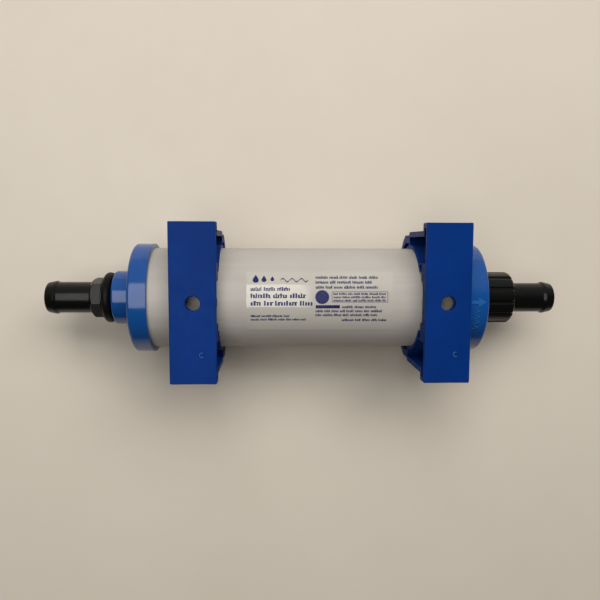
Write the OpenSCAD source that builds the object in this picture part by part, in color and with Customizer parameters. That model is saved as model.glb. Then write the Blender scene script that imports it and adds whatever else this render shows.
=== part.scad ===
// Inline water filter: a plastic tube of filter media with bonded end caps, a screw-in hose tail at
// the inlet, a swivel hose tail at the outlet, and two clip brackets that screw to a wall.
// The tube lies along X with the inlet at -X. The brackets' mounting plates face +Z.
// The origin is on the resting surface, under the middle of the overall length.

/* [Housing] */
// Outside diameter of the housing tube
tube_od = 63.5; // [62.5:0.1:64]
// Wall of the housing tube
tube_wall = 3; // [2.5:0.1:3.2]
// Length over the flat faces of the two end caps
body_len = 217.8; // [210:0.1:240]

/* [End caps] */
// Outside diameter of both end caps
cap_od = 69; // [68:0.1:70]
// Thickness of a cap's end wall
cap_wall = 4; // [3.5:0.1:4.5]
// Length of both caps' skirts, from the flat face
skirt_len = 11.9; // [10:0.1:13]
// Depth of the ring that locates each cap inside the tube
spigot_depth = 7; // [5:0.5:9]
// Rounding of a cap's outer corner
cap_round = 2; // [1:0.1:2.5]
// Outside diameter of the inlet cap's threaded boss
boss_od = 34; // [32:0.1:36]
// Length of the boss, from the cap's flat face
boss_len = 13.5; // [12:0.1:16]

/* [Inlet hose tail] */
// Length of the tail's barbed stem, from the hex to the open end
inlet_stem_len = 28.1; // [25:0.1:32]
// Stem diameter
inlet_stem_od = 19.75; // [19:0.05:20]
// Diameter over the barb ridge
inlet_ridge_od = 21.2; // [20.8:0.1:22]
// Bore of both hose tails
tail_bore = 13.4; // [12.5:0.1:14]
// Hex size across its corners
hex_corners = 25.9; // [25:0.1:27]
// Hex thickness
hex_len = 7.4; // [6:0.1:8]
// Turn of the hex about the tube's axis, from a flat that faces +Z towards +Y
hex_turn = 16; // [0:1:30]
// Thickness of the thin flange behind the hex
flange_len = 1; // [0.8:0.1:1.6]
// Outside diameter of the rubber seal ring
ring_od = 32.1; // [31:0.1:33]
// Width of the seal ring along the axis
ring_len = 5.9; // [5:0.1:6.5]
// Gap left between the seal ring and the boss
seal_gap = 0.6; // [0.3:0.1:3]
// Major diameter of the tail's pipe thread
inlet_thread_od = 20.9; // [20.5:0.1:21.1]
// Thread pitch at the inlet, 14 threads to the inch
inlet_pitch = 1.8143; // [1.7:0.0001:1.9]

/* [Outlet swivel] */
// Outside diameter of the swivel nut over its ribs
nut_od = 33.2; // [32:0.1:34]
// Length of the swivel nut
nut_len = 22.9; // [22:0.1:23]
// Number of grip ribs on the nut
nut_ribs = 12; // [8:1:18]
// Major diameter of the garden-hose thread on the outlet spigot
hose_thread_od = 26.76; // [26.4:0.01:26.99]
// Thread pitch at the outlet, 11.5 threads to the inch
hose_pitch = 2.2087; // [2.1:0.0001:2.3]
// Length of the threaded spigot, from the cap's flat face
thread_spigot = 13.5; // [13:0.1:14]
// Stem diameter of the swivel tail
outlet_stem_od = 18.9; // [18.4:0.05:19.2]
// Diameter over its barb ridge
outlet_ridge_od = 20.6; // [20.2:0.1:21]
// Distance from the cap's flat face to the swivel tail's open end
outlet_reach = 51.9; // [50:0.1:56]

/* [Brackets] */
// Distance between the two brackets' screw holes
hole_spacing = 149.3; // [130:0.1:150]
// Distance from the inlet cap's flat face to the first screw hole
first_hole = 40.4; // [36:0.1:42]
// Bracket width along the tube
bracket_w = 27.4; // [26:0.1:28]
// Length of the mounting plate across the tube
plate_len = 94.6; // [92:0.1:96]
// Thickness of the mounting plate
plate_t = 2.5; // [2:0.1:3]
// Height of the plate's outer face above the tube's axis
plate_top = 43.4; // [42.5:0.1:44.5]
// Diameter of the screw hole
screw_hole = 8.6; // [8:0.1:9]
// Diameter of the recess for the screw's head, on the tube's side
head_recess = 18; // [16:0.5:18.5]
// Running gap between a bracket and the tube
clip_gap = 0.35; // [0.3:0.05:0.45]
// Angle of each clip arm's end, from straight down
mouth_angle = 55; // [52:1:60]

/* [Label] */
// Length of the label film along the tube
label_len = 88.5; // [80:0.1:92]
// Width of the film around the tube
label_w = 37.6; // [34:0.1:40]

/* [Filter media] */
// Length of the copper-zinc media bed
kdf_len = 22; // [15:1:30]
// Thickness of each felt pad
felt_t = 4; // [3:0.5:5]
// Thickness of the strainer discs
disc_t = 3; // [2.5:0.5:4]

/* [Hidden] */

round_fn = 96;
past = 1;            // how far a cut runs past the face it opens

// Stations along X
axis_z = cap_od / 2;
inlet_reach = boss_len + seal_gap + ring_len + flange_len + hex_len + inlet_stem_len;
overall = inlet_reach + body_len + outlet_reach;
inlet_end = -overall / 2;
inlet_face = inlet_end + inlet_reach;
outlet_face = inlet_face + body_len;
outlet_end = outlet_face + outlet_reach;
boss_face = inlet_face - boss_len;
ring_x1 = boss_face - seal_gap;
flange_x1 = ring_x1 - ring_len;
hex_x1 = flange_x1 - flange_len;
hex_x0 = hex_x1 - hex_len;
left_hole = inlet_face + first_hole;
right_hole = left_hole + hole_spacing;

// Radii of the housing
tube_r = tube_od / 2;
tube_ri = tube_r - tube_wall;
bond_gap = 0.15;
skirt_ri = tube_r + bond_gap;
spigot_ro = tube_ri - bond_gap;
spigot_ri = spigot_ro - 3;
port_r = 8;

// Threads are drawn as parallel grooves, and the two halves run clear of each other.
thread_fit = 0.1;
inlet_crest = inlet_thread_od / 2;
inlet_root = inlet_crest - 1.1;
hose_crest = hose_thread_od / 2;
hose_root = hose_crest - 1.2;
thread_reach = 9.5; // how far the inlet tail's thread goes into the boss
washer_t = 2.8;
washer_x0 = outlet_face + thread_spigot + 0.1;
tail_flange_x0 = washer_x0 + washer_t;
tail_flange_t = 2.8;
tail_flange_x1 = tail_flange_x0 + tail_flange_t;
nut_x0 = outlet_face + 0.6;
nut_x1 = nut_x0 + nut_len;
nut_web_x0 = tail_flange_x1 + 0.1;
collar_r = outlet_stem_od / 2 + 0.45;

// Bracket section, measured from the tube's axis
clip_r = tube_r + clip_gap;
liner_t = 2;
plate_half = plate_len / 2;
plate_under = plate_top - plate_t;
lip_t = 3;
lip_low = plate_top - 9;
shelf_t = 2.5;
wall_out = plate_half - 4.7;
wall_t = 3.3;
wall_low = -1.5;
web_t = 2;
block_half = 23.4;   // the solid-faced block round the screw hole
block_low = clip_r + 0.1;
block_wall = 2;
liner_end = 18;
boss_r = 12.5;
arm_out = 40.5;
arm_t = 4.9;
arm_bend = -14.5;    // where the arm's outer side starts to slope in
arm_low = -27.8;
arm_tip = 31.7;
mouth = [clip_r * sin(mouth_angle), -clip_r * cos(mouth_angle)];

// Filter stack, in order from the inlet
fit_gap = 0.1;
stack_r = tube_ri - 0.15;
screen_t = 0.4;
divider_t = 3;
stack_x0 = inlet_face + cap_wall + spigot_depth + fit_gap;
stack_x1 = outlet_face - cap_wall - spigot_depth - fit_gap;
inlet_screen_x = stack_x0 + disc_t;
inlet_felt_x = inlet_screen_x + screen_t;
kdf_x = inlet_felt_x + felt_t;
divider_x = kdf_x + kdf_len;
carbon_x = divider_x + divider_t;
outlet_screen_x = stack_x1 - disc_t - screen_t;
outlet_felt_x = outlet_screen_x - felt_t;

// Points along an arc, as [x, r] pairs
function arc(cx, cr, radius, from, to, steps = 6) =
    [for (i = [0:steps])
        let (a = from + (to - from) * i / steps)
        [cx + radius * cos(a), cr + radius * sin(a)]];

// Outline of grooves cut between x0 and x1, with 60 degree flanks and flat crests and roots
function grooves(x0, x1, pitch, root, crest) =
    [for (i = [0:floor((x1 - x0) / pitch) - 1])
        for (p = [[0.1, root], [0.45, crest], [0.55, crest], [0.9, root]])
            [x0 + (i + p[0]) * pitch, p[1]]];

function backwards(list) = [for (i = [len(list) - 1:-1:0]) list[i]];

// Turns a profile of [x, r] points about the tube's axis.
module lathe(points) {
    translate([0, 0, axis_z])
        rotate([0, 90, 0])
            rotate_extrude($fn = round_fn)
                polygon([for (p = points) [p[1], p[0]]]);
}

module rod(x0, x1, r) {
    translate([x0, 0, axis_z])
        rotate([0, 90, 0])
            cylinder(h = x1 - x0, r = r, $fn = round_fn);
}

module pipe(x0, x1, ro, ri) {
    lathe([[x0, ri], [x0, ro], [x1, ro], [x1, ri]]);
}

// Extrudes a section drawn as [y, z] from the tube's axis, along X from x0.
module section(x0, width) {
    translate([x0, 0, axis_z])
        rotate([90, 0, 90])
            linear_extrude(width)
                children();
}

module both_sides() {
    children();
    mirror([1, 0]) children();
}

module housing_tube() {
    color("whitesmoke")
        pipe(inlet_face + cap_wall, outlet_face - cap_wall, tube_r, tube_ri);
}

module label() {
    half_angle = label_w / (tube_r + 0.1) * 90 / PI;
    film = 0.15;
    middle = (left_hole + right_hole) / 2;
    color("lightsteelblue")
        translate([middle - label_len / 2, 0, axis_z])
            rotate([0, 90, 0])
                rotate_extrude(angle = 2 * half_angle, start = 180 - half_angle, $fn = round_fn)
                    translate([tube_r + 0.01, 0])
                        square([film, label_len]);
}

// The boss has a parallel pipe thread for the inlet tail, and a smaller port behind it.
module inlet_cap() {
    boss_r0 = boss_od / 2;
    corner = 1.6;
    inner = inlet_face + cap_wall;
    thread_end = boss_face + thread_reach + seal_gap + 0.8;
    color("royalblue")
        lathe(concat(
            arc(boss_face + corner, boss_r0 - corner, corner, 180, 90),
            [[inlet_face, boss_r0]],
            arc(inlet_face + cap_round, cap_od / 2 - cap_round, cap_round, 180, 90),
            [[inlet_face + skirt_len, cap_od / 2], [inlet_face + skirt_len, skirt_ri]],
            [[inner, skirt_ri], [inner, spigot_ro], [inner + spigot_depth, spigot_ro]],
            [[inner + spigot_depth, spigot_ri], [inner, spigot_ri], [inner, port_r]],
            [[thread_end, port_r], [thread_end, inlet_crest + thread_fit]],
            backwards(grooves(boss_face + 1, thread_end - 0.5, inlet_pitch,
                              inlet_crest + thread_fit, inlet_crest + 1)),
            [[boss_face + 0.8, inlet_crest + thread_fit], [boss_face, inlet_crest + 0.9]]));
}

// The spigot has a garden-hose thread for the swivel nut. An arrow on the skirt shows the flow.
module outlet_cap() {
    inner = outlet_face - cap_wall;
    skirt_end = outlet_face - skirt_len;
    spigot_end = outlet_face + thread_spigot;
    color("royalblue") {
        lathe(concat(
            [[spigot_end, port_r], [spigot_end, hose_root], [spigot_end - 0.8, hose_crest - 0.3]],
            backwards(grooves(outlet_face + 2, spigot_end - 0.8, hose_pitch, hose_root, hose_crest)),
            [[outlet_face, hose_root]],
            arc(outlet_face - cap_round, cap_od / 2 - cap_round, cap_round, 0, 90),
            [[skirt_end, cap_od / 2], [skirt_end, skirt_ri], [inner, skirt_ri]],
            [[inner, spigot_ro], [inner - spigot_depth, spigot_ro]],
            [[inner - spigot_depth, spigot_ri], [inner, spigot_ri], [inner, port_r]]));
        flow_arrow();
    }
}

// A plain arrow that stands 0.4 mm proud of the skirt's upper side and points to the outlet
module flow_arrow() {
    proud = 0.4;
    length = 9;
    middle_x = outlet_face - 7;
    intersection() {
        translate([middle_x - length / 2, 0, axis_z])
            linear_extrude(cap_od)
                polygon([[0, -1], [length / 2, -1], [length / 2, -2.8], [length, 0],
                         [length / 2, 2.8], [length / 2, 1], [0, 1]]);
        pipe(middle_x - length, middle_x + length, cap_od / 2 + proud, cap_od / 2 - 1);
    }
}

// Outer profile of a barbed stem, from its open end at x = 0 to the point where the stem is plain.
// The end is rounded, and one ridge grips the hose.
function barb(stem_r, ridge_r) =
    concat(arc(2.2, stem_r - 2.5, 2.2, 180, 100),
           [[5, ridge_r - 0.2]],
           arc(5.9, ridge_r - 0.5, 0.5, 110, 60, 3),
           [[7.4, stem_r]]);

module inlet_hose_tail() {
    stem_r = inlet_stem_od / 2;
    hex_r = hex_corners / 2;
    chamfer = 2.3;
    thread_x1 = boss_face + thread_reach;
    color([0.1, 0.1, 0.11]) {
        lathe(concat(
            [[inlet_end, tail_bore / 2]],
            [for (p = barb(stem_r, inlet_ridge_od / 2)) [inlet_end + p[0], p[1]]],
            [[hex_x0 + 1, stem_r], [hex_x0 + 1, hex_r - 2.4], [hex_x1, hex_r - 2.4]],
            [[hex_x1, hex_r + 0.1], [flange_x1, hex_r + 0.1], [flange_x1, inlet_root]],
            grooves(flange_x1 + 0.8, thread_x1 - 0.6, inlet_pitch, inlet_root, inlet_crest),
            [[thread_x1, inlet_root], [thread_x1, tail_bore / 2]]));
        intersection() {
            translate([hex_x0, 0, axis_z])
                rotate([-hex_turn, 0, 0])
                    rotate([0, 90, 0])
                        rotate([0, 0, 30])
                            difference() {
                                cylinder(h = hex_len, r = hex_r, $fn = 6);
                                translate([0, 0, -past])
                                    cylinder(h = hex_len + 2 * past, r = hex_r - 3.4, $fn = round_fn);
                            }
            lathe([[hex_x0, 0], [hex_x0, hex_r - chamfer - 0.3], [hex_x0 + chamfer, hex_r + 0.1],
                   [hex_x1, hex_r + 0.1], [hex_x1, 0]]);
        }
    }
}

// A thick rubber ring with a rounded rim
module inlet_seal_ring() {
    half = ring_len / 2 - 0.05;
    middle = flange_x1 + ring_len / 2;
    inner_r = inlet_crest + 0.3;
    color([0.06, 0.06, 0.06])
        lathe(concat(
            [[middle - half, inner_r]],
            arc(middle, ring_od / 2 - half, half, 180, 0, 16),
            [[middle + half, inner_r]]));
}

// The flange turns freely inside the swivel nut, and the collar fills the nut's rear hole.
module outlet_hose_tail() {
    stem_r = outlet_stem_od / 2;
    flange_r = hose_crest;
    collar_x1 = nut_x1 + 2.2;
    color([0.1, 0.1, 0.11])
        lathe(concat(
            [[tail_flange_x0, tail_bore / 2], [tail_flange_x0, flange_r]],
            [[tail_flange_x1, flange_r], [tail_flange_x1, collar_r], [collar_x1, collar_r]],
            [[collar_x1, stem_r]],
            backwards([for (p = barb(stem_r, outlet_ridge_od / 2)) [outlet_end - p[0], p[1]]]),
            [[outlet_end, tail_bore / 2]]));
}

module hose_washer() {
    color([0.06, 0.06, 0.06])
        pipe(washer_x0, washer_x0 + washer_t, hose_crest - 0.3, port_r + 0.5);
}

module swivel_nut() {
    outer = nut_od / 2;
    rib_depth = 0.8;
    rib_w = 6.4;
    rib_turn = 9;
    corner = 2.4;
    bore = hose_crest + thread_fit;
    thread_x1 = washer_x0;
    color([0.08, 0.08, 0.09])
        difference() {
            intersection() {
                union() {
                    rod(nut_x0, nut_x1, outer - rib_depth);
                    for (i = [0:nut_ribs - 1])
                        translate([nut_x0, 0, axis_z])
                            rotate([i * 360 / nut_ribs - rib_turn, 0, 0])
                                translate([0, -rib_w / 2, outer - rib_depth - 1])
                                    cube([nut_len, rib_w, rib_depth + 2]);
                }
                lathe(concat(
                    [[nut_x0, 0], [nut_x0, outer - 0.4], [nut_x0 + 0.4, outer]],
                    arc(nut_x1 - corner, outer - corner, corner, 90, 0),
                    [[nut_x1, 0]]));
            }
            lathe(concat(
                [[nut_x0 - past, 0], [nut_x0 - past, bore + 1], [nut_x0, bore + 1], [nut_x0 + 1, bore]],
                grooves(nut_x0 + 1.4, thread_x1 - 0.4, hose_pitch, bore, bore + 1.1),
                [[thread_x1, bore], [thread_x1, bore + 0.4], [nut_web_x0, bore + 0.4]],
                [[nut_web_x0, collar_r + 0.3], [nut_x1 + past, collar_r + 0.3], [nut_x1 + past, 0]]));
        }
}

// Whole section of a bracket: plate with turned-down lips, side walls and hooked clip arms
module bracket_outline() {
    difference() {
        both_sides()
            polygon([[0, plate_top], [plate_half, plate_top], [plate_half, lip_low],
                     [wall_out, lip_low], [wall_out, wall_low], [arm_out, wall_low - 2],
                     [arm_out, arm_bend], [36.9, arm_bend - 6], [arm_tip, arm_low + 2], [arm_tip - 2.2, arm_low],
                     mouth, [0, mouth[1]]]);
        circle(r = clip_r, $fn = round_fn);
        both_sides()
            difference() {
                polygon([[0, 0], [block_half - 1, 0], [block_half - 1, block_low], [0, block_low]]);
                difference() {
                    circle(r = clip_r + liner_t, $fn = round_fn);
                    translate([-past, 0]) square([liner_end + past, tube_od]);
                }
            }
    }
}

// The cored-out spaces on each face of a bracket, which leave a web in the middle of its width
module bracket_pockets() {
    wall_in = wall_out - wall_t;
    both_sides()
        difference() {
            polygon([[block_half, 0], [block_half, plate_under], [plate_half - lip_t, plate_under],
                     [plate_half - lip_t, lip_low + shelf_t], [wall_in, lip_low + shelf_t],
                     [wall_in, wall_low], [block_half, wall_low]]);
            circle(r = clip_r + liner_t, $fn = round_fn);
        }
    both_sides()
        difference() {
            polygon([[30, -3.5], [arm_out - arm_t, -3.5], [arm_out - arm_t, -13], [33, -19], [28, -19]]);
            circle(r = clip_r + liner_t, $fn = round_fn);
        }
}

// The block round the screw hole is hollow on the tube's side, with a shallow recess on each face.
module block_hollows(x0, x1) {
    recess = 1;
    recess_half = 12.8;
    hollow_x0 = x0 + recess + block_wall;
    hollow_len = bracket_w - 2 * (recess + block_wall);
    for (x = [x0 - past, x1 - recess])
        translate([x, -recess_half, axis_z])
            cube([recess + past, 2 * recess_half, plate_under]);
    translate([hollow_x0, -block_half + block_wall, axis_z])
        cube([hollow_len, 2 * (block_half - block_wall), plate_under]);
}

// The screw boss bulges into the shallow recess on each face of the block, under the plate.
module screw_boss(hole_x) {
    bulge_r = bracket_w / 2 - 0.1;
    bulge_low = plate_under - 5.4;
    translate([hole_x, 0, axis_z]) {
        cylinder(h = plate_under + 0.5, r = boss_r, $fn = round_fn);
        translate([0, 0, bulge_low])
            cylinder(h = plate_under + 0.5 - bulge_low, r = bulge_r, $fn = round_fn);
    }
}

module bracket(hole_x) {
    x0 = hole_x - bracket_w / 2;
    x1 = hole_x + bracket_w / 2;
    pocket = (bracket_w - web_t) / 2;
    head_depth = 5;      // plate and boss left under the screw's head
    gate_r = 1.5;
    gate_depth = 0.3;
    color("mediumblue")
        difference() {
            union() {
                difference() {
                    section(x0, bracket_w) bracket_outline();
                    section(x0 - past, pocket + past) bracket_pockets();
                    section(x1 - pocket, pocket + past) bracket_pockets();
                    block_hollows(x0, x1);
                }
                screw_boss(hole_x);
            }
            rod(x0 - past, x1 + past, clip_r);
            translate([hole_x, 0, axis_z])
                cylinder(h = plate_top + past, r = screw_hole / 2, $fn = round_fn);
            translate([hole_x, 0, axis_z])
                cylinder(h = plate_top - head_depth, r = head_recess / 2, $fn = round_fn);
            translate([hole_x + 5, -30, axis_z + plate_top - gate_depth])
                cylinder(h = past, r = gate_r, $fn = round_fn);
        }
}

module left_bracket() {
    bracket(left_hole);
}

module right_bracket() {
    bracket(right_hole);
}

// A disc drilled in rings of 6, 12, 18 and 24 holes about a centre hole
module strainer_disc(x0) {
    hole_r = 1.3;
    ring_step = 5.4;
    color("gainsboro")
        translate([x0, 0, axis_z])
            rotate([0, 90, 0])
                linear_extrude(disc_t)
                    difference() {
                        circle(r = stack_r, $fn = round_fn);
                        circle(r = hole_r, $fn = 24);
                        for (ring = [1:4], i = [0:6 * ring - 1])
                            rotate(i * 60 / ring)
                                translate([ring * ring_step, 0])
                                    circle(r = hole_r, $fn = 24);
                    }
}

module inlet_strainer_disc() {
    strainer_disc(stack_x0);
}

module outlet_strainer_disc() {
    strainer_disc(stack_x1 - disc_t);
}

module inlet_mesh_screen() {
    color("silver") rod(inlet_screen_x, inlet_felt_x, stack_r);
}

module outlet_mesh_screen() {
    color("silver") rod(outlet_screen_x, outlet_screen_x + screen_t, stack_r);
}

module inlet_felt_pad() {
    color("ivory") rod(inlet_felt_x, kdf_x, stack_r);
}

module outlet_felt_pad() {
    color("ivory") rod(outlet_felt_x, outlet_screen_x, stack_r);
}

module kdf_bed() {
    color("darkgoldenrod") rod(kdf_x, divider_x, stack_r);
}

module media_divider_pad() {
    color("ivory") rod(divider_x, carbon_x, stack_r);
}

module carbon_bed() {
    color([0.15, 0.15, 0.15]) rod(carbon_x, outlet_felt_x, stack_r);
}

housing_tube();
label();
inlet_cap();
outlet_cap();
inlet_hose_tail();
inlet_seal_ring();
outlet_hose_tail();
hose_washer();
swivel_nut();
left_bracket();
right_bracket();
inlet_strainer_disc();
outlet_strainer_disc();
inlet_mesh_screen();
outlet_mesh_screen();
inlet_felt_pad();
outlet_felt_pad();
kdf_bed();
media_divider_pad();
carbon_bed();
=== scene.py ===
import math
import random

import bmesh
import bpy
from mathutils import Matrix, Vector


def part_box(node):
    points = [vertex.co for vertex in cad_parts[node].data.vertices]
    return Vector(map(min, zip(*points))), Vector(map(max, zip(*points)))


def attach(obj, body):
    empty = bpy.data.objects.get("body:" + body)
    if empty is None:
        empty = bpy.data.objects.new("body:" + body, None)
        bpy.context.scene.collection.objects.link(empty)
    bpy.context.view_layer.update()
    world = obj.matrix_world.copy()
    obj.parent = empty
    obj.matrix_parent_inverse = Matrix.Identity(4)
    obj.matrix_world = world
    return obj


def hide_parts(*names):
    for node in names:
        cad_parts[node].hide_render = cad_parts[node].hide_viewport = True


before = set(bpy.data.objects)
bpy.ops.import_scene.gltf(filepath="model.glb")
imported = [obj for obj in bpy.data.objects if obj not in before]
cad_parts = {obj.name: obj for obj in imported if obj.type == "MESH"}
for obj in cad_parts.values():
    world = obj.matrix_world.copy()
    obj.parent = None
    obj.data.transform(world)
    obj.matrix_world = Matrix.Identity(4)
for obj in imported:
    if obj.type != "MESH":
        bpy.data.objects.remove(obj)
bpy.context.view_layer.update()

MM = 0.001
TAU = 2 * math.pi

# ---------------------------------------------------------------- places, in millimetres


def span(node, axis):
    """Lowest and highest value of a CAD node along one axis, in millimetres"""
    low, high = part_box(node)
    return low[axis] / MM, high[axis] / MM


def radius(node):
    """Outer radius of a round CAD node, in millimetres"""
    low, high = span(node, 1)
    return (high - low) / 2


AXIS_Z = sum(span("housing_tube", 2)) / 2

# radii
TUBE_R = radius("housing_tube")
CAP_R = radius("inlet_cap")
BOSS_R = 17  # the inlet cap's threaded boss
PORT_R = 8  # the waterway through each cap
TAIL_BORE_R = 6.7
INLET_CREST = 10.45  # the inlet tail's thread
HOSE_CREST = 13.38  # the outlet spigot's thread, which fits the nut
FILM_R = TUBE_R + 0.14  # outside of the label's film

# walls, fits and lengths
TUBE_WALL = 3
CAP_WALL = 4
CAP_SKIRT = 11.9
INNER_SPIGOT = 7
INNER_SPIGOT_WALL = 3
BOND = 0.15  # gap for the bond between tube and cap
THREAD_FIT = 0.1  # gap between a crest and the bore around it
INLET_PITCH = 1.8143
HOSE_PITCH = 2.2087

# places along the tube's axis
INLET_FACE = span("housing_tube", 0)[0] - CAP_WALL
OUTLET_FACE = span("housing_tube", 0)[1] + CAP_WALL
BOSS_FACE = span("inlet_cap", 0)[0]
SPIGOT_END = span("outlet_cap", 0)[1]

# ---------------------------------------------------------------- meshes


def finish_mesh(name, mesh, body, stands_for, material, sharp=32):
    """Makes a smooth-shaded piece of a mesh with its material, ties it to its body, and hides the CAD
    nodes that it stands for.
    """
    mesh.shade_smooth()
    mesh.set_sharp_from_angle(angle=math.radians(sharp))
    piece = bpy.data.objects.new(name, mesh)
    bpy.context.scene.collection.objects.link(piece)
    mesh.materials.append(material)
    weighted = piece.modifiers.new("weighted", "WEIGHTED_NORMAL")
    weighted.keep_sharp = True
    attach(piece, body)
    if stands_for:
        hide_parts(*stands_for)


def fillet(outline, steps=5):
    """Rounds the corners of a closed outline, and gives its points as (x, r, kind).

    A corner is (x, r), (x, r, radius), (x, r, kind) or (x, r, radius, kind). The kind is a word that
    tells lathe's shape() which surface it is on.
    """
    rounded = []
    most = 0.49  # the share of an edge that one corner's arc may use
    count = len(outline)
    for i, corner in enumerate(outline):
        here = Vector(corner[:2])
        kind = corner[-1] if isinstance(corner[-1], str) else ""
        size = corner[2] if len(corner) > 2 and corner[2] != kind else 0
        if not size:
            rounded.append((here.x, here.y, kind))
            continue
        back = Vector(outline[i - 1][:2]) - here
        ahead = Vector(outline[(i + 1) % count][:2]) - here
        turn = back.angle(ahead)
        reach = min(size / math.tan(turn / 2), most * back.length, most * ahead.length)
        arc_r = reach * math.tan(turn / 2)
        inwards = (back.normalized() + ahead.normalized()).normalized()
        centre = here + inwards * arc_r / math.sin(turn / 2)
        start = here + back.normalized() * reach - centre
        end = here + ahead.normalized() * reach - centre
        sweep = start.angle_signed(end)
        for k in range(steps + 1):
            point = centre + Matrix.Rotation(-sweep * k / steps, 2) @ start
            rounded.append((point.x, point.y, kind))
    return rounded


def lathe(stations, segments, shape=None):
    """Turns a closed outline of (x, r, kind) about the tube's axis.

    Where a point has a kind, shape(kind, x, angle, r) gives its radius at each angle.
    """
    mesh = bpy.data.meshes.new("lathe")
    verts = []
    for k in range(segments):
        angle = TAU * k / segments
        for x, r, kind in stations:
            at = shape(kind, x, angle, r) if shape and kind else r
            verts.append((x * MM, at * math.sin(angle) * MM, (AXIS_Z + at * math.cos(angle)) * MM))
    count = len(stations)
    faces = [
        (k * count + i, k * count + (i + 1) % count,
         (k + 1) % segments * count + (i + 1) % count, (k + 1) % segments * count + i)
        for k in range(segments) for i in range(count)
    ]
    mesh.from_pydata(verts, [], faces)
    mesh.validate()
    fix = bmesh.new()
    fix.from_mesh(mesh)
    bmesh.ops.recalc_face_normals(fix, faces=fix.faces)
    fix.to_mesh(mesh)
    fix.free()
    return mesh


def thread(x0, x1, pitch, r, kind):
    """Closely spaced stations for a helical thread between x0 and x1"""
    stations_per_turn = 10
    steps = round(abs(x1 - x0) / pitch * stations_per_turn)
    return [(x0 + (x1 - x0) * k / steps, r, kind) for k in range(steps + 1)]


def clamp(value):
    """The value, held between 0 and 1"""
    return min(1, max(0, value))


def helix(x, angle, pitch, x0, x1, depth):
    """Height of a right-handed thread's ridge at a place, run out at both ends"""
    flank = 3.2
    root = 0.35
    run_out = 1.2
    phase = (x / pitch + angle / TAU) % 1
    ridge = clamp((0.5 - abs(phase - 0.5)) * flank - root)
    ends = clamp((x - x0) / pitch * run_out) * clamp((x1 - x) / pitch * run_out)
    return depth * ridge * ends


def on_tube(u, v, r):
    """The point, in metres, at u along the tube and v round it from the top to +Y, on radius r"""
    angle = v / TUBE_R
    return (u * MM, r * math.sin(angle) * MM, (AXIS_Z + r * math.cos(angle)) * MM)


def tube_patch(builder, outline, r0, r1, step):
    """Adds a closed slab with the given (u, v) outline, wrapped on the tube between radii r0 and r1.

    It is cut along the tube about every step, so that it bends with the surface.
    """
    flat = bmesh.new()
    ring = [flat.verts.new((u, v, 0)) for u, v in outline]
    flat.faces.new(ring)
    low_v = min(v for _, v in outline)
    high_v = max(v for _, v in outline)
    cuts = int((high_v - low_v) / step)
    for k in range(1, cuts + 1):
        level = low_v + (high_v - low_v) * k / (cuts + 1)
        bmesh.ops.bisect_plane(
            flat, geom=flat.verts[:] + flat.edges[:] + flat.faces[:],
            plane_co=(0, level, 0), plane_no=(0, 1, 0), dist=1e-6)
    top = {}
    low = {}
    for vert in flat.verts:
        top[vert] = builder.verts.new(on_tube(vert.co.x, vert.co.y, r1))
        low[vert] = builder.verts.new(on_tube(vert.co.x, vert.co.y, r0))
    for face in flat.faces:
        builder.faces.new([top[vert] for vert in face.verts])
        builder.faces.new([low[vert] for vert in reversed(face.verts)])
    for edge in flat.edges:
        if edge.is_boundary:
            a, b = edge.verts
            builder.faces.new([top[a], top[b], low[b], low[a]])
    flat.free()


def patch_mesh(name, builder):
    """Makes a mesh of what tube_patch and the like have built, and frees the builder."""
    bmesh.ops.recalc_face_normals(builder, faces=builder.faces)
    mesh = bpy.data.meshes.new(name)
    builder.to_mesh(mesh)
    builder.free()
    return mesh


def rectangle(u0, v0, u1, v1):
    """Corners of a rectangle, for tube_patch"""
    return [(u0, v0), (u1, v0), (u1, v1), (u0, v1)]


def rounded_rectangle(u0, v0, u1, v1, corner):
    """Outline of a rectangle with round corners, for tube_patch"""
    steps = 5
    points = []
    for cu, cv, start in ((u1 - corner, v1 - corner, 0), (u0 + corner, v1 - corner, 90),
                          (u0 + corner, v0 + corner, 180), (u1 - corner, v0 + corner, 270)):
        for k in range(steps + 1):
            angle = math.radians(start + 90 * k / steps)
            points.append((cu + corner * math.cos(angle), cv + corner * math.sin(angle)))
    return points


# ---------------------------------------------------------------- materials


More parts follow.
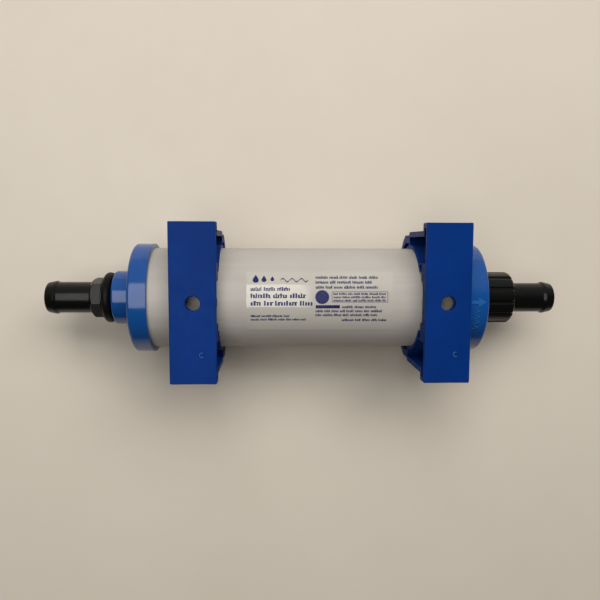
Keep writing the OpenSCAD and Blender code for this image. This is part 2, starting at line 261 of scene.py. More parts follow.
class Nodes:
    """A node material with one Principled shader, and short calls for its nodes"""

    def __init__(self, name):
        self.material = bpy.data.materials.new(name)
        self.material.use_nodes = True
        self.tree = self.material.node_tree
        self.shader = self.tree.nodes["Principled BSDF"]
        self.coords = self.node("ShaderNodeTexCoord").outputs["Object"]

    def node(self, kind, **values):
        """A new node with the given properties"""
        made = self.tree.nodes.new(kind)
        for key, value in values.items():
            setattr(made, key, value)
        return made

    def link(self, a, b):
        self.tree.links.new(a, b)

    def set(self, socket, value):
        """Gives one of the shader's sockets a value that is the same all over."""
        self.shader.inputs[socket].default_value = value

    def stretched(self, factors):
        """The object's coordinates, multiplied along x, y and z"""
        mapping = self.node("ShaderNodeMapping")
        mapping.inputs["Scale"].default_value = factors
        self.link(self.coords, mapping.inputs["Vector"])
        return mapping.outputs["Vector"]

    def noise(self, scale, detail, roughness, stretch=None):
        """Cloudy value between 0 and 1, mostly near 0.5; scale is the number of clouds to a metre"""
        made = self.node("ShaderNodeTexNoise")
        made.inputs["Scale"].default_value = scale
        made.inputs["Detail"].default_value = detail
        made.inputs["Roughness"].default_value = roughness
        self.link(self.stretched(stretch) if stretch else self.coords, made.inputs["Vector"])
        return made.outputs["Fac"]

    def cells(self, scale, output="Distance"):
        """Distance to the nearest of many scattered points, or the colour of the cell round it"""
        made = self.node("ShaderNodeTexVoronoi")
        made.inputs["Scale"].default_value = scale
        self.link(self.coords, made.inputs["Vector"])
        return made.outputs[output]

    def remap(self, value, low, high, to_low, to_high):
        """The value, moved from the span low to high to the span to_low to to_high"""
        made = self.node("ShaderNodeMapRange")
        self.link(value, made.inputs["Value"])
        limits = {"From Min": low, "From Max": high, "To Min": to_low, "To Max": to_high}
        for name, number in limits.items():
            made.inputs[name].default_value = number
        return made.outputs["Result"]

    def combine(self, a, b, operation):
        """Two values joined by a maths operation"""
        made = self.node("ShaderNodeMath", operation=operation)
        self.link(a, made.inputs[0])
        self.link(b, made.inputs[1])
        return made.outputs["Value"]

    def ramp(self, value, stops):
        """A colour for each value, between the (value, colour) stops"""
        made = self.node("ShaderNodeValToRGB")
        ramp = made.color_ramp
        while len(ramp.elements) < len(stops):
            ramp.elements.new(0.5)
        for element, (place, colour) in zip(ramp.elements, stops):
            element.position = place
            element.color = (*colour, 1)
        self.link(value, made.inputs["Fac"])
        return made.outputs["Color"]

    def bump(self, height, strength, depth, after=None):
        """A bumped normal, on top of another bump if there is one; depth is in millimetres"""
        made = self.node("ShaderNodeBump")
        made.inputs["Strength"].default_value = strength
        made.inputs["Distance"].default_value = depth * MM
        self.link(height, made.inputs["Height"])
        if after:
            self.link(after, made.inputs["Normal"])
        return made.outputs["Normal"]

    def colour(self, output):
        self.link(output, self.shader.inputs["Base Color"])

    def roughness(self, output):
        self.link(output, self.shader.inputs["Roughness"])

    def normal(self, output):
        self.link(output, self.shader.inputs["Normal"])


def shade(colour, factor):
    """The colour, made darker or lighter"""
    return tuple(min(1, part * factor) for part in colour)


def moulded_plastic(name, colour, gloss, grain=0.12, shine=0.5):
    """Injection-moulded plastic: flow clouding, fine grain, and faint scuffs that show in the gloss

    The gloss is the roughness between scuffs, grain is how much the surface is bumped, and shine is its
    specular level.
    """
    m = Nodes(name)
    flow = m.noise(28, 4, 0.55)
    specks = m.remap(m.cells(900), 0, 0.25, -0.05, 0)
    tone = m.combine(flow, specks, "ADD")
    m.colour(m.ramp(tone, [(0.3, shade(colour, 0.86)), (0.55, colour), (0.8, shade(colour, 1.16))]))
    scuffs = m.remap(m.noise(300, 4, 0.6), 0.35, 0.75, gloss * 0.85, gloss * 1.12)
    fine = m.noise(1600, 2, 0.5)
    m.roughness(m.combine(scuffs, m.remap(fine, 0.3, 0.7, -0.015, 0.02), "ADD"))
    soft = m.bump(m.noise(160, 3, 0.5), grain, 0.4)
    m.normal(m.bump(fine, grain * 0.8, 0.06, soft))
    m.set("Specular IOR Level", shine)
    return m.material


def tube_plastic():
    """Extruded white tube: faint draw lines along it, light yellowing, and dust specks"""
    yellowed = (0.365, 0.345, 0.322)
    white = (0.4, 0.38, 0.357)
    bright = (0.43, 0.412, 0.39)
    dust = (0.6, 0.58, 0.54)
    clean = (1, 1, 1)
    dust_size = 0.03
    dust_strength = 0.5
    m = Nodes("white_tube")
    lines = m.noise(260, 4, 0.6, stretch=(0.02, 1, 1))
    cloud = m.noise(14, 4, 0.6)
    tone = m.combine(m.remap(lines, 0.3, 0.7, -0.1, 0.1), cloud, "ADD")
    base = m.ramp(tone, [(0.25, yellowed), (0.5, white), (0.8, bright)])
    specks = m.ramp(m.cells(170), [(0.0, dust), (dust_size, clean)])
    mixed = m.node("ShaderNodeMix", data_type="RGBA", blend_type="MULTIPLY")
    mixed.inputs["Factor"].default_value = dust_strength
    m.link(base, mixed.inputs["A"])
    m.link(specks, mixed.inputs["B"])
    m.colour(mixed.outputs["Result"])
    m.roughness(m.remap(m.noise(180, 4, 0.6, stretch=(0.1, 1, 1)), 0.3, 0.7, 0.42, 0.56))
    drawn = m.bump(lines, 0.22, 0.3)
    m.normal(m.bump(m.noise(1300, 2, 0.5), 0.1, 0.05, drawn))
    return m.material


def label_film():
    """Glossy film on the tube, with slight waviness from the hand that laid it on"""
    aged = (0.435, 0.415, 0.38)
    clear = (0.47, 0.45, 0.415)
    m = Nodes("label_film")
    m.colour(m.ramp(m.noise(30, 3, 0.5), [(0.3, aged), (0.7, clear)]))
    m.roughness(m.remap(m.noise(240, 4, 0.6), 0.3, 0.7, 0.08, 0.13))
    wave = m.bump(m.noise(55, 2, 0.4), 0.22, 0.6)
    m.normal(m.bump(m.noise(900, 2, 0.5), 0.05, 0.04, wave))
    m.set("Specular IOR Level", 0.9)
    m.set("Coat Weight", 0.8)
    m.set("Coat Roughness", 0.05)
    return m.material


def print_ink():
    """Dark blue ink, a little patchy"""
    thick = (0.004, 0.007, 0.065)
    thin = (0.009, 0.016, 0.105)
    m = Nodes("label_ink")
    patchy = m.noise(700, 3, 0.6)
    m.colour(m.ramp(patchy, [(0.3, thick), (0.7, thin)]))
    m.roughness(m.remap(patchy, 0.3, 0.7, 0.18, 0.3))
    m.normal(m.bump(patchy, 0.15, 0.03))
    return m.material


def soft_rubber():
    """Black rubber with a dull bloom and fine pores"""
    black = (0.0015, 0.0015, 0.0015)
    bloomed = (0.005, 0.005, 0.005)
    m = Nodes("black_rubber")
    bloom = m.noise(60, 5, 0.65)
    m.colour(m.ramp(bloom, [(0.3, black), (0.75, bloomed)]))
    m.roughness(m.remap(bloom, 0.3, 0.7, 0.35, 0.5))
    m.set("Specular IOR Level", 0.18)
    pores = m.bump(m.cells(1500), 0.2, 0.08)
    m.normal(m.bump(m.noise(260, 3, 0.5), 0.25, 0.2, pores))
    return m.material


def felt():
    """Pressed fibres, with tufts, and painted shade in the hollows between the fibres"""
    # painted shade: this colour darkens the low places of the fibre bump; the tufts add random tone
    shaded_hollow = (0.5, 0.47, 0.4)
    fibre = (0.8, 0.78, 0.7)
    m = Nodes("felt")
    fibres = m.noise(900, 6, 0.75, stretch=(1, 0.35, 1))
    tufts = m.noise(220, 4, 0.6)
    m.colour(m.ramp(m.combine(fibres, tufts, "MULTIPLY"), [(0.12, shaded_hollow), (0.35, fibre)]))
    m.roughness(m.remap(fibres, 0, 1, 0.85, 1))
    m.normal(m.bump(fibres, 0.8, 0.6))
    m.set("Sheen Weight", 0.4)
    return m.material


def granules(name, scale, dark, light, metallic=0.0, rough=(0.5, 0.9)):
    """A packed bed of grains, each with its own tone"""
    m = Nodes(name)
    grey = m.node("ShaderNodeRGBToBW")
    m.link(m.cells(scale, output="Color"), grey.inputs["Color"])
    tone = grey.outputs["Val"]
    m.colour(m.ramp(tone, [(0.2, dark), (0.8, light)]))
    m.roughness(m.remap(tone, 0, 1, *rough))
    m.normal(m.bump(m.cells(scale), 1.0, 0.9))
    m.set("Metallic", metallic)
    return m.material


def woven_screen():
    """Fine square mesh of drawn wire, with painted shade, nearly black, in the gaps between the wires"""
    # the gap colour is painted shade: nearly black where the weave is low, between the wires
    gap = (0.05, 0.05, 0.05)
    wire = (0.62, 0.63, 0.64)
    wires_scale = 320
    m = Nodes("screen_cloth")
    waves = []
    for direction in ("Y", "Z"):
        wave = m.node("ShaderNodeTexWave", bands_direction=direction)
        wave.inputs["Scale"].default_value = wires_scale
        m.link(m.coords, wave.inputs["Vector"])
        waves.append(wave.outputs["Fac"])
    weave = m.combine(*waves, "MAXIMUM")
    m.colour(m.ramp(weave, [(0.3, gap), (0.75, wire)]))
    m.roughness(m.remap(weave, 0, 1, 0.6, 0.3))
    m.normal(m.bump(weave, 0.8, 0.3))
    m.set("Metallic", 0.8)
    return m.material


BLUE_CAP = moulded_plastic("blue_cap_plastic", (0.004, 0.062, 0.26), gloss=0.14, shine=0.7)
BLUE_RUBBED = moulded_plastic("rubbed_blue_plastic", (0.014, 0.095, 0.31), gloss=0.32)
BLUE_SCAR = moulded_plastic("scarred_blue_plastic", (0.04, 0.12, 0.34), gloss=0.42)
BLUE_BRACKET = moulded_plastic("bracket_plastic", (0.0008, 0.026, 0.17), gloss=0.5, grain=0.2, shine=0.1)
BLACK = moulded_plastic("black_plastic", (0.0025, 0.003, 0.0025), gloss=0.24, grain=0.15, shine=0.35)
WHITE = tube_plastic()
STRAINER = moulded_plastic("strainer_plastic", (0.6, 0.6, 0.58), gloss=0.4)
FILM = label_film()
INK = print_ink()
RUBBER = soft_rubber()
FELT = felt()
SCREEN = woven_screen()
CARBON = granules("carbon_granules", 700, dark=(0.004, 0.004, 0.004), light=(0.03, 0.03, 0.032))
KDF = granules("copper_zinc_granules", 1100, dark=(0.32, 0.2, 0.07), light=(0.75, 0.55, 0.25),
               metallic=0.9, rough=(0.3, 0.5))

# ---------------------------------------------------------------- housing, caps and label


def build_tube():
    """The white tube, with its cut edges eased"""
    x0, x1 = span("housing_tube", 0)
    bore = TUBE_R - TUBE_WALL
    outline = fillet([(x0, bore, 0.3), (x0, TUBE_R, 0.4), (x1, TUBE_R, 0.4), (x1, bore, 0.3)])
    mesh = lathe(outline, segments=192)
    finish_mesh("tube", mesh, "filter", ["housing_tube"], WHITE)


def cap_shell(face, way):
    """Outline of a cap's rim, skirt and inner spigot; way is the direction from its face to the tube"""
    inner = face + way * CAP_WALL
    skirt_end = face + way * CAP_SKIRT
    spigot_end = inner + way * INNER_SPIGOT
    spigot_r = TUBE_R - TUBE_WALL - BOND
    spigot_bore = spigot_r - INNER_SPIGOT_WALL
    return [(face, CAP_R, 2), (skirt_end, CAP_R, 0.35), (skirt_end, TUBE_R + BOND, 0.3),
            (inner, TUBE_R + BOND), (inner, spigot_r), (spigot_end, spigot_r, 0.5),
            (spigot_end, spigot_bore, 0.5), (inner, spigot_bore, 0.5)]


def build_inlet_cap():
    """Cap with a threaded boss, which takes the screw-in hose tail"""
    inner = INLET_FACE + CAP_WALL
    bore = INLET_CREST + THREAD_FIT
    bore_end = BOSS_FACE + 10.9
    groove_depth = 1.0
    cut = (BOSS_FACE + 0.9, bore_end - 0.5)
    outline = [
        (BOSS_FACE, bore, 0.7), (BOSS_FACE, BOSS_R, 1.5), (INLET_FACE, BOSS_R, 0.5),
        *cap_shell(INLET_FACE, 1),
        (inner, PORT_R, 0.4), (bore_end, PORT_R), (bore_end, bore),
        *thread(cut[1], cut[0], INLET_PITCH, bore, "thread")]

    def groove(_, x, angle, r):
        return r + helix(x, angle, INLET_PITCH, *cut, groove_depth)

    mesh = lathe(fillet(outline), segments=192, shape=groove)
    finish_mesh("inlet_end_cap", mesh, "filter", ["inlet_cap"], BLUE_CAP)


def build_outlet_cap():
    """Cap with a threaded spigot, which takes the swivel nut"""
    inner = OUTLET_FACE - CAP_WALL
    ridge_height = 1.2
    root = HOSE_CREST - ridge_height
    cut = (OUTLET_FACE + 1.6, SPIGOT_END - 0.7)
    outline = [
        (inner, PORT_R, 0.4), (SPIGOT_END, PORT_R, 0.4), (SPIGOT_END, root, 0.5),
        *thread(cut[1], cut[0], HOSE_PITCH, root, "thread"),
        (OUTLET_FACE, root, 0.4), *cap_shell(OUTLET_FACE, -1)]

    def ridge(_, x, angle, r):
        return r + helix(x, angle, HOSE_PITCH, *cut, ridge_height)

    mesh = lathe(fillet(outline), segments=192, shape=ridge)
    finish_mesh("outlet_end_cap", mesh, "filter", ["outlet_cap"], BLUE_CAP)


def build_flow_marks():
    """A raised arrow and a row of chevrons on the outlet cap's skirt, which point to the outlet"""
    start = OUTLET_FACE - 11.5
    sunk_r = CAP_R - 0.2
    arrow_r = CAP_R + 0.38
    chevron_r = CAP_R + 0.32
    chevrons = 4
    first_v = -5.2
    spacing = 3.6
    inset = 2
    step = 0.4
    round_cap = TUBE_R / CAP_R
    arrow = [(0, -1), (4.5, -1), (4.5, -2.8), (9, 0), (4.5, 2.8), (4.5, 1), (0, 1)]
    chevron = [(0, -1.2), (1.3, -1.2), (4.2, 0), (1.3, 1.2), (0, 1.2), (2.9, 0)]
    builder = bmesh.new()
    tube_patch(builder, [(start + u, v * round_cap) for u, v in arrow], sunk_r, arrow_r, step)
    for i in range(chevrons):
        place = first_v - spacing * i
        outline = [(start + inset + u, (place + v) * round_cap) for u, v in chevron]
        tube_patch(builder, outline, sunk_r, chevron_r, step)
    mesh = patch_mesh("flow_marks", builder)
    finish_mesh("flow_marks", mesh, "filter", [], BLUE_RUBBED)


def build_label():
    """The film itself, which lies a hair above the tube"""
    u0, u1 = span("label", 0)
    width = 37.6
    corner = 1.6
    under_r = TUBE_R + 0.01
    outline = rounded_rectangle(u0, -width / 2, u1, width / 2, corner)
    builder = bmesh.new()
    tube_patch(builder, outline, under_r, FILM_R, step=0.8)
    mesh = patch_mesh("label_film", builder)
    finish_mesh("label_film", mesh, "filter", ["label"], FILM, sharp=40)


def word_marks(add, rng, u0, u1, v, height, stroke):
    """A line of dummy words: runs of small upright strokes that spell nothing"""
    gap = 0.9
    least_room = 2
    heights = (0.72, 0.72, 1.0)
    bar_chance = 0.45
    bar_places = (0.0, 0.56)
    bar_height = 0.2
    u = u0
    while u < u1 - least_room:
        end = min(u1, u + rng.uniform(4, 9.5) * height / 2)
        while u < end - stroke:
            tall = rng.choice(heights)
            wide = stroke * rng.uniform(1.1, 1.7)
            add(rectangle(u, v, min(u + wide, end), v + height * tall))
            if rng.random() < bar_chance:
                bar = v + height * rng.choice(bar_places)
                add(rectangle(u, bar, min(u + wide + stroke * 1.1, end), bar + height * bar_height))
            u += wide + stroke * rng.uniform(0.5, 0.8)
        u += gap * height / 2


def print_disc(add, cu, cv, size):
    """A round badge, made of thin wedges that leave a pinhole at the middle"""
    steps = 28
    pinhole = 0.01
    for k in range(steps):
        a = TAU * k / steps
        b = TAU * (k + 1) / steps
        add([(cu + pinhole * math.cos(a), cv + pinhole * math.sin(a)),
             (cu + size * math.cos(a), cv + size * math.sin(a)),
             (cu + size * math.cos(b), cv + size * math.sin(b)),
             (cu + pinhole * math.cos(b), cv + pinhole * math.sin(b))])


def print_drop(add, cu, cv, size):
    """A water drop with its tip up"""
    steps = 24
    points = []
    for k in range(steps):
        a = TAU * k / steps
        points.append((cu + size * math.sin(a) * math.sin(a / 2) ** 1.5, cv + size * math.cos(a)))
    add(points)


def print_wave(add, u):
    """One wavelet of a wavy line"""
    steps = 8
    length = 5.2
    top = 13.6
    bottom = 12.9
    swing = 1.1
    upper = [(u + length * t / steps, top + swing * math.sin(TAU * t / steps)) for t in range(steps + 1)]
    lower = [(u + length * t / steps, bottom + swing * math.sin(TAU * t / steps))
             for t in range(steps, -1, -1)]
    add(upper + lower)


def print_frame(add, u0, v0, u1, v1):
    """The four sides of a box"""
    line = 0.28
    add(rectangle(u0, v0, u1, v0 + line))
    add(rectangle(u0, v1 - line, u1, v1))
    add(rectangle(u0, v0, u0 + line, v1))
    add(rectangle(u1 - line, v0, u1, v1))


def build_print():
    """Generic print on the film: drops, a wave, dummy lines, a round badge, a boxed note and a bar"""
    u0, u1 = span("label", 0)
    left = u0 + 2.6
    middle = u0 + 41.6
    right = u1 - 3.2
    beside_bar = middle + 16
    box = (middle + 9.7, -0.2, right, 6.2)
    ink_r = FILM_R + 0.035
    rng = random.Random(7)
    builder = bmesh.new()

    def add(outline):
        tube_patch(builder, outline, FILM_R, ink_r, step=2)

    def words(start, end, v, height, stroke):
        word_marks(add, rng, start, end, v, height, stroke)

    for i in range(3):
        print_drop(add, left + 3 + 5 * i, 14.2, 2.6 - 0.5 * i)
    for i in range(3):
        print_wave(add, left + 18 + i * 5.6)
    for v, length, height, stroke in (
            (6.6, 24, 2.4, 0.5), (2.3, 33.5, 2.8, 0.72), (-2.2, 37, 2.9, 0.8),
            (-9.3, 24, 1.4, 0.36), (-11.6, 33.5, 1.4, 0.36)):
        words(left, left + length, v, height, stroke)
    for i, length in enumerate((39.5, 34, 40)):
        words(middle, middle + length, 14.2 - 3.1 * i, 1.8, 0.42)
    print_disc(add, middle + 3.9, 2.9, 4.2)
    print_frame(add, *box)
    for i in range(3):
        words(box[0] + 1, box[2] - 1.2, 4.2 - 1.95 * i, 1.3, 0.34)
    add(rectangle(middle, -3.9, middle + 14.6, -1.9))
    words(beside_bar, middle + 38, -3.8, 1.6, 0.36)
    for i, length in enumerate((42, 38)):
        words(middle, middle + length, -6.3 - 2.5 * i, 1.6, 0.36)
    words(beside_bar, right, -12.1, 1.6, 0.4)
    mesh = patch_mesh("label_print", builder)
    finish_mesh("label_print", mesh, "filter", [], INK, sharp=60)


# ---------------------------------------------------------------- hose tails, ring and nut


def barb(end, way, stem_r, ridge_r):
    """Outline of a barbed end, from its open face to the plain stem; way is the direction inwards"""
    slope_end = end + way * 5.0
    ridge_top = end + way * 5.9
    ridge_edge = end + way * 6.3
    stem = end + way * 7.5
    return [(end, TAIL_BORE_R, 0.35), (end, stem_r - 0.35, 2.2), (slope_end, ridge_r - 0.12, 0.5),
            (ridge_top, ridge_r, 0.3), (ridge_edge, ridge_r - 0.25, 0.3), (stem, stem_r, 0.6)]


def build_inlet_tail():
    """Screw-in tail: barb, chamfered hex, thin flange and thread"""
    end, thread_tip = span("inlet_hose_tail", 0)
    stem_r = 9.875
    ridge_r = 10.6
    hex_r = 12.95
    hex_length = 7.4
    flange_r = hex_r + 0.1
    flange_x = span("inlet_seal_ring", 0)[0] - 0.05
    hex_x1 = flange_x - 1
    hex_x0 = hex_x1 - hex_length
    half_side = math.radians(30)
    flat = hex_r * math.cos(half_side)
    hex_turn = math.radians(16)
    thread_depth = 1.1
    root = INLET_CREST - thread_depth
    cut = (flange_x + 0.7, thread_tip - 0.5)
    chamfer_length = 2.3
    chamfer_r = hex_r - 2.6
    chamfer_rise = 2.7
    steps = 10
    chamfer = [(hex_x0 + chamfer_length * k / steps, chamfer_r + chamfer_rise * k / steps, "hex")
               for k in range(steps + 1)]
    outline = [
        *barb(end, 1, stem_r, ridge_r), (hex_x0, stem_r, 0.2), *chamfer,
        (hex_x1 - 0.35, flange_r, "hex"), (hex_x1 - 0.1, hex_r - 0.05, "hex"),
        (hex_x1, hex_r - 0.35, "hex"), (hex_x1, flat - 1.2), (hex_x1 + 0.02, flange_r, 0.3),
        (flange_x, flange_r, 0.3), (flange_x, root),
        *thread(*cut, INLET_PITCH, root, "thread"),
        (thread_tip, root, 0.4), (thread_tip, TAIL_BORE_R, 0.3)]

    def shape(kind, x, angle, r):
        if kind == "hex":
            turned = (angle - hex_turn + half_side) % (2 * half_side) - half_side
            return min(r, flat / math.cos(turned))
        return r + helix(x, angle, INLET_PITCH, *cut, thread_depth)

    mesh = lathe(fillet(outline), segments=180, shape=shape)
    finish_mesh("screw_in_hose_tail", mesh, "inlet_tail", ["inlet_hose_tail"], BLACK)


def build_seal_ring():
    """Thick ring with a nearly half-round rim"""
    x0, x1 = span("inlet_seal_ring", 0)
    ring_r = radius("inlet_seal_ring")
    bore = INLET_CREST + 0.3
    rim = (x1 - x0) / 2 * 0.97
    outline = fillet([(x0, bore, 0.3), (x0, ring_r, rim), (x1, ring_r, rim), (x1, bore, 0.3)], steps=10)
    mesh = lathe(outline, segments=144)
    finish_mesh("rubber_ring", mesh, "inlet_seal", ["inlet_seal_ring"], RUBBER)


def build_outlet_tail():
    """Swivel tail: a flange inside the nut, a collar through it, and a barb"""
    flange_x0, end = span("outlet_hose_tail", 0)
    flange_x1 = flange_x0 + 2.8
    collar_end = span("swivel_nut", 0)[1] + 2.2
    stem_r = 9.45
    ridge_r = 10.3
    collar_r = stem_r + 0.45
    outline = [(flange_x0, TAIL_BORE_R, 0.3), (flange_x0, HOSE_CREST, 0.3), (flange_x1, HOSE_CREST, 0.3),
               (flange_x1, collar_r, 0.2), (collar_end, collar_r, 0.25), (collar_end, stem_r, 0.2),
               *reversed(barb(end, -1, stem_r, ridge_r))]
    mesh = lathe(fillet(outline), segments=160)
    finish_mesh("swivel_hose_tail", mesh, "outlet_tail", ["outlet_hose_tail"], BLACK)


def build_nut():
    """Swivel nut: wide ribs with narrow notches between, a thread inside, and a web behind the flange"""
    x0, x1 = span("swivel_nut", 0)
    outer = radius("swivel_nut")
    web_x0 = span("outlet_hose_tail", 0)[0] + 2.9
    bore = HOSE_CREST + THREAD_FIT
    relief = bore + 0.4
    washer_x0 = span("hose_washer", 0)[0]
    thread_depth = 1.1
    cut = (x0 + 1.2, washer_x0 - 0.3)
    ribs = 12
    turn = math.radians(9)
    notch_half = math.radians(4.4)
    notch_flank = 0.45
    notch_depth = 0.85
    outline = [
        (x0, bore, 0.7), (x0, outer, 0.5, "rib"), (x1, outer, 2.6, "rib"), (x1, 10.4, 0.3),
        (web_x0, 10.2), (web_x0, relief), (washer_x0, relief),
        *thread(cut[1], cut[0], HOSE_PITCH, bore, "thread")]

    def shape(kind, x, angle, r):
        if kind == "rib":
            from_notch = abs((angle - turn) % (TAU / ribs) - TAU / ribs / 2)
            return r - notch_depth * clamp((notch_half - from_notch) / (notch_half * notch_flank))
        return r + helix(x, angle, HOSE_PITCH, *cut, thread_depth)

    mesh = lathe(fillet(outline, steps=6), segments=360, shape=shape)
    finish_mesh("ribbed_nut", mesh, "swivel_nut", ["swivel_nut"], BLACK)


def build_washer():
    """Flat washer between the outlet cap's spigot and the swivel tail's flange"""
    x0, x1 = span("hose_washer", 0)
    bore = PORT_R + 0.5
    rim = HOSE_CREST - 0.3
    outline = fillet([(x0, bore, 0.4), (x0, rim, 0.6), (x1, rim, 0.6), (x1, bore, 0.4)])
    mesh = lathe(outline, segments=96)
    finish_mesh("flat_washer", mesh, "outlet_tail", ["hose_washer"], RUBBER)


# ---------------------------------------------------------------- brackets


def build_bracket(node):
    """The bracket's own mesh, with the mounting plate's outer edges and the screw hole's rim rounded"""
    rounding = 0.6 * MM
    slack = 0.05 * MM
    weld = 0.02 * MM
    flat_angle = math.radians(0.4)
    corner_angle = math.radians(35)
    side_y = span(node, 1)[1] * MM - slack
    plate_z = span(node, 2)[1] * MM - slack
    work = bmesh.new()
    work.from_mesh(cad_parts[node].data)
    bmesh.ops.remove_doubles(work, verts=work.verts, dist=weld)
    bmesh.ops.dissolve_limit(work, angle_limit=flat_angle, verts=work.verts, edges=work.edges,
                             delimit={"NORMAL"})

    def is_rim(edge):
        if not edge.is_manifold or edge.calc_face_angle_signed() <= corner_angle:
            return False
        on_side = all(abs(vert.co.y) > side_y for vert in edge.verts)
        on_plate = all(vert.co.z > plate_z for vert in edge.verts)
        return on_side or on_plate

    rims = [edge for edge in work.edges if is_rim(edge)]
    bmesh.ops.bevel(work, geom=rims, offset=rounding, offset_type="OFFSET", segments=3, profile=0.5,
                    affect="EDGES", clamp_overlap=False)
    mesh = bpy.data.meshes.new(node + "_moulding")
    work.to_mesh(mesh)
    work.free()
    finish_mesh(node + "_moulding", mesh, node, [node], BLUE_BRACKET, sharp=38)


def build_gate_mark(node):
    """The small C-shaped scar that the mould's gate leaves on a mounting plate"""
    x0, x1 = span(node, 0)
    plate = span(node, 2)[1]
    centre_x = (x0 + x1) / 2 + 5
    centre_y = -30
    ring_r = 1.35
    bead_r = 0.22
    first_angle = 40
    sweep = 280
    steps = 24
    sides = 8
    builder = bmesh.new()
    rings = []
    for k in range(steps + 1):
        a = math.radians(first_angle + sweep * k / steps)
        thin = bead_r * min(1, 0.35 + 6 * min(k, steps - k) / steps)
        ring = []
        for j in range(sides):
            b = TAU * j / sides
            reach = ring_r + thin * math.cos(b)
            ring.append(builder.verts.new((
                (centre_x + reach * math.cos(a)) * MM,
                (centre_y + reach * math.sin(a)) * MM,
                (plate - bead_r + thin * math.sin(b)) * MM)))
        rings.append(ring)
    for near, far in zip(rings, rings[1:]):
        for j in range(sides):
            after = (j + 1) % sides
            builder.faces.new([near[j], near[after], far[after], far[j]])
    builder.faces.new(reversed(rings[0]))
    builder.faces.new(rings[-1])
    mesh = patch_mesh("gate_mark", builder)
    finish_mesh(node + "_gate_mark", mesh, node, [], BLUE_SCAR)


# ---------------------------------------------------------------- inside the tube


def dress_inside():
    """The filter stack keeps its CAD shapes, with the media's own materials."""
    materials = {
        "inlet_strainer_disc": STRAINER,
        "outlet_strainer_disc": STRAINER,
        "inlet_mesh_screen": SCREEN,
        "outlet_mesh_screen": SCREEN,
        "inlet_felt_pad": FELT,
        "outlet_felt_pad": FELT,
        "media_divider_pad": FELT,
        "kdf_bed": KDF,
        "carbon_bed": CARBON,
    }
    for node, material in materials.items():
        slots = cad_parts[node].data.materials
        slots.clear()
        slots.append(material)


# ---------------------------------------------------------------- floor, light and camera


def build_floor():
    """A painted table top, 5 m across, faintly mottled"""
    half = 2.5
    worn = (0.595, 0.545, 0.472)
    paint = (0.63, 0.58, 0.508)
    m = Nodes("painted_table")
    patches = m.noise(5, 4, 0.6)
    fine = m.remap(m.noise(90, 3, 0.6), 0, 1, -0.05, 0.05)
    m.colour(m.ramp(m.combine(patches, fine, "ADD"), [(0.3, worn), (0.7, paint)]))
    m.roughness(m.remap(m.noise(60, 3, 0.5), 0.3, 0.7, 0.5, 0.65))
    m.normal(m.bump(m.noise(500, 4, 0.6), 0.12, 0.3))
    corners = [(-half, -half, 0), (half, -half, 0), (half, half, 0), (-half, half, 0)]
    mesh = bpy.data.meshes.new("table_top")
    mesh.from_pydata(corners, [], [(0, 1, 2, 3)])
    mesh.materials.append(m.material)
    table = bpy.data.objects.new("table_top", mesh)
    bpy.context.scene.collection.objects.link(table)


def area_light(name, low, high, height, energy, colour, target=None, mirrored=True):
    """A softbox between two x, y corners, which faces down or faces a target.

    With mirrored off it lights the object, but is not seen in its gloss.
    """
    lamp = bpy.data.lights.new(name, "AREA")
    lamp.shape = "RECTANGLE"
    lamp.size = high[0] - low[0]
    lamp.size_y = high[1] - low[1]
    lamp.energy = energy
    lamp.color = colour
    holder = bpy.data.objects.new(name, lamp)
    holder.location = ((low[0] + high[0]) / 2, (low[1] + high[1]) / 2, height)
    holder.visible_glossy = mirrored
    if target:
        aim = Vector(target) - holder.location
        holder.rotation_euler = aim.to_track_quat("-Z", "Y").to_euler()
    bpy.context.scene.collection.objects.link(holder)


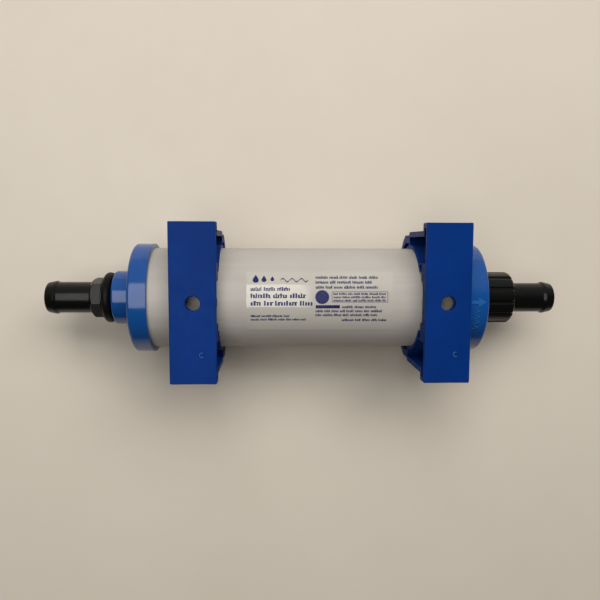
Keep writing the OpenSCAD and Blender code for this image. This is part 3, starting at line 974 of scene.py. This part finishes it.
def build_world():
    """A dim room, paler towards the window side"""
    dark_side = (0.045, 0.045, 0.045, 1)
    window_side = (0.36, 0.37, 0.38, 1)
    world = bpy.data.worlds.new("room")
    world.use_nodes = True
    tree = world.node_tree
    fill = tree.nodes["Background"]
    coords = tree.nodes.new("ShaderNodeTexCoord")
    split = tree.nodes.new("ShaderNodeSeparateXYZ")
    ramp = tree.nodes.new("ShaderNodeValToRGB")
    first, last = ramp.color_ramp.elements
    first.position = 0.1
    first.color = dark_side
    last.position = 0.9
    last.color = window_side
    tree.links.new(coords.outputs["Generated"], split.inputs["Vector"])
    tree.links.new(split.outputs["Y"], ramp.inputs["Fac"])
    tree.links.new(ramp.outputs["Color"], fill.inputs["Color"])
    bpy.context.scene.world = world


def build_lights():
    """A ceiling panel, whose reflection is the glare on the label, a window, and the room's fill"""
    warm_white = (1.0, 0.96, 0.9)
    area_light("ceiling_panel", low=(-0.62, -0.3), high=(0.06, 0.66), height=AXIS_Z * MM + 1.0,
               energy=4.6, colour=warm_white)
    area_light("window", low=(-0.5, 0.5), high=(1.0, 1.2), height=1.1,
               energy=19.0, colour=warm_white, target=(0, 0, 0), mirrored=False)
    build_world()
    bpy.context.scene.view_settings.view_transform = "Standard"


def build_camera():
    """The camera hangs over the tube, a little left of its middle and towards +Y, tipped back to it."""
    from_inlet_face = 87.11
    to_the_side = 34.75
    above_axis = 390.95
    tips = (-5.344, -2.505, 0.229)
    image_width = 600
    focal_length = 602.6
    field = image_width / focal_length
    lens = bpy.data.cameras.new("camera")
    lens.lens = lens.sensor_width / field
    holder = bpy.data.objects.new("camera", lens)
    place = Vector(((INLET_FACE + from_inlet_face) * MM, to_the_side * MM, (AXIS_Z + above_axis) * MM))
    tip_x, tip_y, tip_z = (math.radians(tip) for tip in tips)
    turn = Matrix.Rotation(tip_z, 4, "Z") @ Matrix.Rotation(tip_y, 4, "Y")
    turn = turn @ Matrix.Rotation(tip_x, 4, "X")
    holder.matrix_world = Matrix.Translation(place) @ turn
    bpy.context.scene.collection.objects.link(holder)
    bpy.context.scene.camera = holder


build_camera()
build_lights()
build_floor()
build_tube()
build_inlet_cap()
build_outlet_cap()
build_flow_marks()
build_label()
build_print()
build_inlet_tail()
build_seal_ring()
build_outlet_tail()
build_nut()
build_washer()
build_bracket("left_bracket")
build_bracket("right_bracket")
build_gate_mark("left_bracket")
build_gate_mark("right_bracket")
dress_inside()
